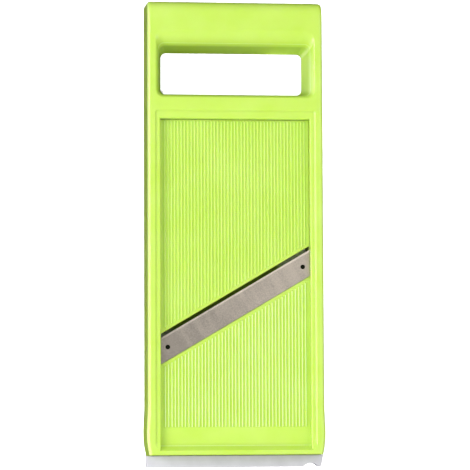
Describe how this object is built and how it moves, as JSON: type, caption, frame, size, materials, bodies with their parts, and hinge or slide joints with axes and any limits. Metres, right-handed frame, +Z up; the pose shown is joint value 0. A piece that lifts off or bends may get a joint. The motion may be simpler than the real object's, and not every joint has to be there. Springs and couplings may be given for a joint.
{
  "type": "mandoline slicer",
  "caption": "Hand mandoline slicer: plastic body with a handle opening, fixed diagonal blade, ribbed feed table lowered by a captive screw and knob, rubber foot and pads.",
  "frame": {"origin": "middle of the footprint, on the surface that the slicer stands on", "axes": "+Z up; +Y from the end foot towards the handle; +X to the right seen from above with the handle away"},
  "size_m": [0.123, 0.3186, 0.03],
  "materials": {
    "lime_plastic": "semi-gloss moulded",
    "blade_steel": "brushed, ground edge",
    "black_steel": "black oxide",
    "fastener_steel": "zinc plated",
    "brass": "turned",
    "knob_plastic": "satin moulded",
    "grey_rubber": "matt moulded"
  },
  "bodies": {
    "body": {"frame": "lime_plastic", "slicing_blade": "blade_steel", "blade_screw_left": "black_steel", "blade_screw_right": "black_steel", "bridge_bush": "brass", "end_foot": "grey_rubber", "handle_pad_left": "grey_rubber", "handle_pad_right": "grey_rubber"},
    "table": {"feed_table": "lime_plastic", "guide_pin_front_left": "fastener_steel", "guide_pin_front_right": "fastener_steel", "guide_pin_rear_left": "fastener_steel", "guide_pin_rear_right": "fastener_steel", "retainer_plate": "fastener_steel", "retainer_screw_front": "fastener_steel", "retainer_screw_rear": "fastener_steel", "thrust_washer": "fastener_steel"},
    "adjuster": {"adjuster_screw": "fastener_steel", "adjuster_knob": "knob_plastic", "knob_screw": "fastener_steel"}
  },
  "joints": [
    {"name": "table_lift", "type": "slide", "parent": "body", "child": "table", "axis": [0, 0, 1], "range_m": [-0.0045, 0]},
    {"name": "adjuster_spin", "type": "hinge", "parent": "table", "child": "adjuster", "pos_m": [0, 0.01333, 0.0078], "axis": [0, 0, -1], "range_deg": [0, 1080]}
  ],
  "couplings": [
    {"joint": "table_lift", "follows": "adjuster_spin", "m_per_rad": -0.00023873}
  ]
}
